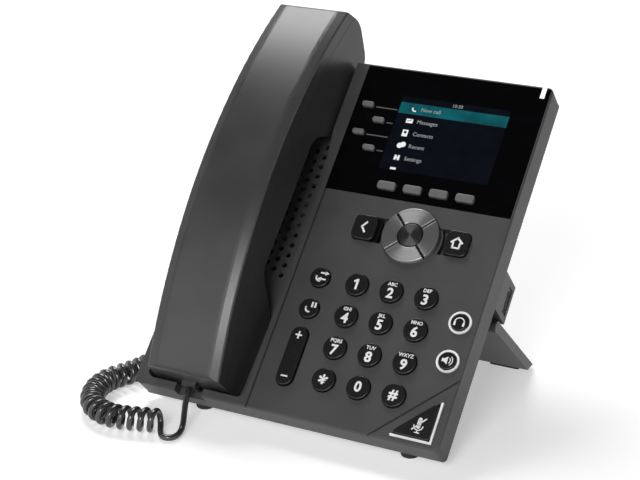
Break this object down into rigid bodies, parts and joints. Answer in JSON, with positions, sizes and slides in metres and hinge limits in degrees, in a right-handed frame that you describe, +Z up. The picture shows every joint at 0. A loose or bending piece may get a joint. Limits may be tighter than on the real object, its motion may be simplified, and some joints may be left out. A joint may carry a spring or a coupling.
{
  "type": "desk ip phone",
  "caption": "Tilted desk phone with a corded handset in its side cradle, a colour display, dial and function keys, an arrow pad and a folding rear stand.",
  "frame": {"origin": "middle of the object's footprint on the desk, cord left out", "axes": "+Z up, +X to the user's right, -Y towards the user"},
  "size_m": [0.1888, 0.1795, 0.1742],
  "materials": {
    "housing": "fine grain",
    "cover": "fine grain",
    "stand": "fine grain",
    "window": "gloss",
    "display": "gloss",
    "board": "satin",
    "silicone": "matte",
    "light_guide": "gloss",
    "key": "satin",
    "arrow_key": "satin",
    "rubber": "matte",
    "speaker": "satin",
    "jack": "satin",
    "port_shell": "plain",
    "screw": "zinc",
    "handset": "satin",
    "cord": "satin",
    "plug": "gloss"
  },
  "bodies": {
    "console": {"front_housing": "housing", "rear_cover": "cover", "display_window": "window", "lcd_module": "display", "message_light": "light_guide", "key_lights": "light_guide", "keypad_board": "board", "keypad_mat": "silicone", "main_board": "board", "loudspeaker": "speaker", "network_jacks": "jack", "modular_jacks": "jack", "power_jack": "jack", "usb_port": "port_shell", "case_screws": "screw", "console_feet": "rubber", "handset_cord": "cord", "console_plug": "plug"},
    "key_1": {"key_1": "key"},
    "key_2": {"key_2": "key"},
    "key_3": {"key_3": "key"},
    "key_4": {"key_4": "key"},
    "key_5": {"key_5": "key"},
    "key_6": {"key_6": "key"},
    "key_7": {"key_7": "key"},
    "key_8": {"key_8": "key"},
    "key_9": {"key_9": "key"},
    "key_star": {"key_star": "key"},
    "key_0": {"key_0": "key"},
    "key_hash": {"key_hash": "key"},
    "transfer_key": {"transfer_key": "key"},
    "hold_key": {"hold_key": "key"},
    "headset_key": {"headset_key": "key"},
    "speaker_key": {"speaker_key": "key"},
    "nav_right": {"nav_right": "arrow_key"},
    "nav_up": {"nav_up": "arrow_key"},
    "nav_left": {"nav_left": "arrow_key"},
    "nav_down": {"nav_down": "arrow_key"},
    "back_key": {"back_key": "key"},
    "home_key": {"home_key": "key"},
    "soft_key_1": {"soft_key_1": "key"},
    "soft_key_2": {"soft_key_2": "key"},
    "soft_key_3": {"soft_key_3": "key"},
    "soft_key_4": {"soft_key_4": "key"},
    "line_key_1": {"line_key_1": "key"},
    "line_key_2": {"line_key_2": "key"},
    "line_key_3": {"line_key_3": "key"},
    "line_key_4": {"line_key_4": "key"},
    "mute_key": {"mute_key": "key"},
    "select_key": {"select_key": "key"},
    "volume_rocker": {"volume_rocker": "key"},
    "handset": {"handset_outer_shell": "handset", "handset_inner_shell": "handset", "handset_receiver": "speaker", "handset_microphone": "speaker", "handset_jack": "jack", "handset_plug": "plug"},
    "hook_plunger": {"hook_plunger": "key"},
    "stand": {"stand": "stand", "stand_feet": "rubber"}
  },
  "joints": [
    {"name": "key_1_press", "type": "slide", "parent": "console", "child": "key_1", "axis": [0, 0.6947, -0.7193], "range_m": [0, 0.0012], "stiffness_N_per_m": 250, "springref_m": -0.0012},
    {"name": "key_2_press", "type": "slide", "parent": "console", "child": "key_2", "axis": [0, 0.6947, -0.7193], "range_m": [0, 0.0012], "stiffness_N_per_m": 250, "springref_m": -0.0012},
    {"name": "key_3_press", "type": "slide", "parent": "console", "child": "key_3", "axis": [0, 0.6947, -0.7193], "range_m": [0, 0.0012], "stiffness_N_per_m": 250, "springref_m": -0.0012},
    {"name": "key_4_press", "type": "slide", "parent": "console", "child": "key_4", "axis": [0, 0.6947, -0.7193], "range_m": [0, 0.0012], "stiffness_N_per_m": 250, "springref_m": -0.0012},
    {"name": "key_5_press", "type": "slide", "parent": "console", "child": "key_5", "axis": [0, 0.6947, -0.7193], "range_m": [0, 0.0012], "stiffness_N_per_m": 250, "springref_m": -0.0012},
    {"name": "key_6_press", "type": "slide", "parent": "console", "child": "key_6", "axis": [0, 0.6947, -0.7193], "range_m": [0, 0.0012], "stiffness_N_per_m": 250, "springref_m": -0.0012},
    {"name": "key_7_press", "type": "slide", "parent": "console", "child": "key_7", "axis": [0, 0.6947, -0.7193], "range_m": [0, 0.0012], "stiffness_N_per_m": 250, "springref_m": -0.0012},
    {"name": "key_8_press", "type": "slide", "parent": "console", "child": "key_8", "axis": [0, 0.6947, -0.7193], "range_m": [0, 0.0012], "stiffness_N_per_m": 250, "springref_m": -0.0012},
    {"name": "key_9_press", "type": "slide", "parent": "console", "child": "key_9", "axis": [0, 0.6947, -0.7193], "range_m": [0, 0.0012], "stiffness_N_per_m": 250, "springref_m": -0.0012},
    {"name": "key_star_press", "type": "slide", "parent": "console", "child": "key_star", "axis": [0, 0.6947, -0.7193], "range_m": [0, 0.0012], "stiffness_N_per_m": 250, "springref_m": -0.0012},
    {"name": "key_0_press", "type": "slide", "parent": "console", "child": "key_0", "axis": [0, 0.6947, -0.7193], "range_m": [0, 0.0012], "stiffness_N_per_m": 250, "springref_m": -0.0012},
    {"name": "key_hash_press", "type": "slide", "parent": "console", "child": "key_hash", "axis": [0, 0.6947, -0.7193], "range_m": [0, 0.0012], "stiffness_N_per_m": 250, "springref_m": -0.0012},
    {"name": "transfer_key_press", "type": "slide", "parent": "console", "child": "transfer_key", "axis": [0, 0.6947, -0.7193], "range_m": [0, 0.0012], "stiffness_N_per_m": 250, "springref_m": -0.0012},
    {"name": "hold_key_press", "type": "slide", "parent": "console", "child": "hold_key", "axis": [0, 0.6947, -0.7193], "range_m": [0, 0.0012], "stiffness_N_per_m": 250, "springref_m": -0.0012},
    {"name": "headset_key_press", "type": "slide", "parent": "console", "child": "headset_key", "axis": [0, 0.6947, -0.7193], "range_m": [0, 0.0012], "stiffness_N_per_m": 250, "springref_m": -0.0012},
    {"name": "speaker_key_press", "type": "slide", "parent": "console", "child": "speaker_key", "axis": [0, 0.6947, -0.7193], "range_m": [0, 0.0012], "stiffness_N_per_m": 250, "springref_m": -0.0012},
    {"name": "nav_right_press", "type": "slide", "parent": "console", "child": "nav_right", "axis": [0, 0.6947, -0.7193], "range_m": [0, 0.0012], "stiffness_N_per_m": 250, "springref_m": -0.0012},
    {"name": "nav_up_press", "type": "slide", "parent": "console", "child": "nav_up", "axis": [0, 0.6947, -0.7193], "range_m": [0, 0.0012], "stiffness_N_per_m": 250, "springref_m": -0.0012},
    {"name": "nav_left_press", "type": "slide", "parent": "console", "child": "nav_left", "axis": [0, 0.6947, -0.7193], "range_m": [0, 0.0012], "stiffness_N_per_m": 250, "springref_m": -0.0012},
    {"name": "nav_down_press", "type": "slide", "parent": "console", "child": "nav_down", "axis": [0, 0.6947, -0.7193], "range_m": [0, 0.0012], "stiffness_N_per_m": 250, "springref_m": -0.0012},
    {"name": "back_key_press", "type": "slide", "parent": "console", "child": "back_key", "axis": [0, 0.6947, -0.7193], "range_m": [0, 0.0012], "stiffness_N_per_m": 250, "springref_m": -0.0012},
    {"name": "home_key_press", "type": "slide", "parent": "console", "child": "home_key", "axis": [0, 0.6947, -0.7193], "range_m": [0, 0.0012], "stiffness_N_per_m": 250, "springref_m": -0.0012},
    {"name": "soft_key_1_press", "type": "slide", "parent": "console", "child": "soft_key_1", "axis": [0, 0.6947, -0.7193], "range_m": [0, 0.0012], "stiffness_N_per_m": 250, "springref_m": -0.0012},
    {"name": "soft_key_2_press", "type": "slide", "parent": "console", "child": "soft_key_2", "axis": [0, 0.6947, -0.7193], "range_m": [0, 0.0012], "stiffness_N_per_m": 250, "springref_m": -0.0012},
    {"name": "soft_key_3_press", "type": "slide", "parent": "console", "child": "soft_key_3", "axis": [0, 0.6947, -0.7193], "range_m": [0, 0.0012], "stiffness_N_per_m": 250, "springref_m": -0.0012},
    {"name": "soft_key_4_press", "type": "slide", "parent": "console", "child": "soft_key_4", "axis": [0, 0.6947, -0.7193], "range_m": [0, 0.0012], "stiffness_N_per_m": 250, "springref_m": -0.0012},
    {"name": "line_key_1_press", "type": "slide", "parent": "console", "child": "line_key_1", "axis": [0, 0.6947, -0.7193], "range_m": [0, 0.0012], "stiffness_N_per_m": 250, "springref_m": -0.0012},
    {"name": "line_key_2_press", "type": "slide", "parent": "console", "child": "line_key_2", "axis": [0, 0.6947, -0.7193], "range_m": [0, 0.0012], "stiffness_N_per_m": 250, "springref_m": -0.0012},
    {"name": "line_key_3_press", "type": "slide", "parent": "console", "child": "line_key_3", "axis": [0, 0.6947, -0.7193], "range_m": [0, 0.0012], "stiffness_N_per_m": 250, "springref_m": -0.0012},
    {"name": "line_key_4_press", "type": "slide", "parent": "console", "child": "line_key_4", "axis": [0, 0.6947, -0.7193], "range_m": [0, 0.0012], "stiffness_N_per_m": 250, "springref_m": -0.0012},
    {"name": "mute_key_press", "type": "slide", "parent": "console", "child": "mute_key", "axis": [0, 0.6947, -0.7193], "range_m": [0, 0.0012], "stiffness_N_per_m": 250, "springref_m": -0.0012},
    {"name": "select_key_press", "type": "slide", "parent": "console", "child": "select_key", "axis": [0, 0.6947, -0.7193], "range_m": [0, 0.0012], "stiffness_N_per_m": 250, "springref_m": -0.0012},
    {"name": "volume_rock", "type": "hinge", "parent": "console", "child": "volume_rocker", "pos_m": [-0.0039, -0.04884, 0.03157], "axis": [1, 0, 0], "range_deg": [-3.5, 3.5], "stiffness_Nm_per_rad": 0.05},
    {"name": "handset_lift", "type": "slide", "parent": "console", "child": "handset", "axis": [0, -0.6947, 0.7193], "range_m": [0, 0.1], "deforming": ["handset_cord"]},
    {"name": "hook_rise", "type": "slide", "parent": "console", "child": "hook_plunger", "axis": [0, -0.6947, 0.7193], "range_m": [0, 0.003]},
    {"name": "stand_fold", "type": "hinge", "parent": "console", "child": "stand", "pos_m": [0, 0.00119, 0.04527], "axis": [1, 0, 0], "range_deg": [-95, 0]}
  ],
  "couplings": [
    {"joint": "hook_rise", "follows": "handset_lift", "ratio": 0.03}
  ]
}
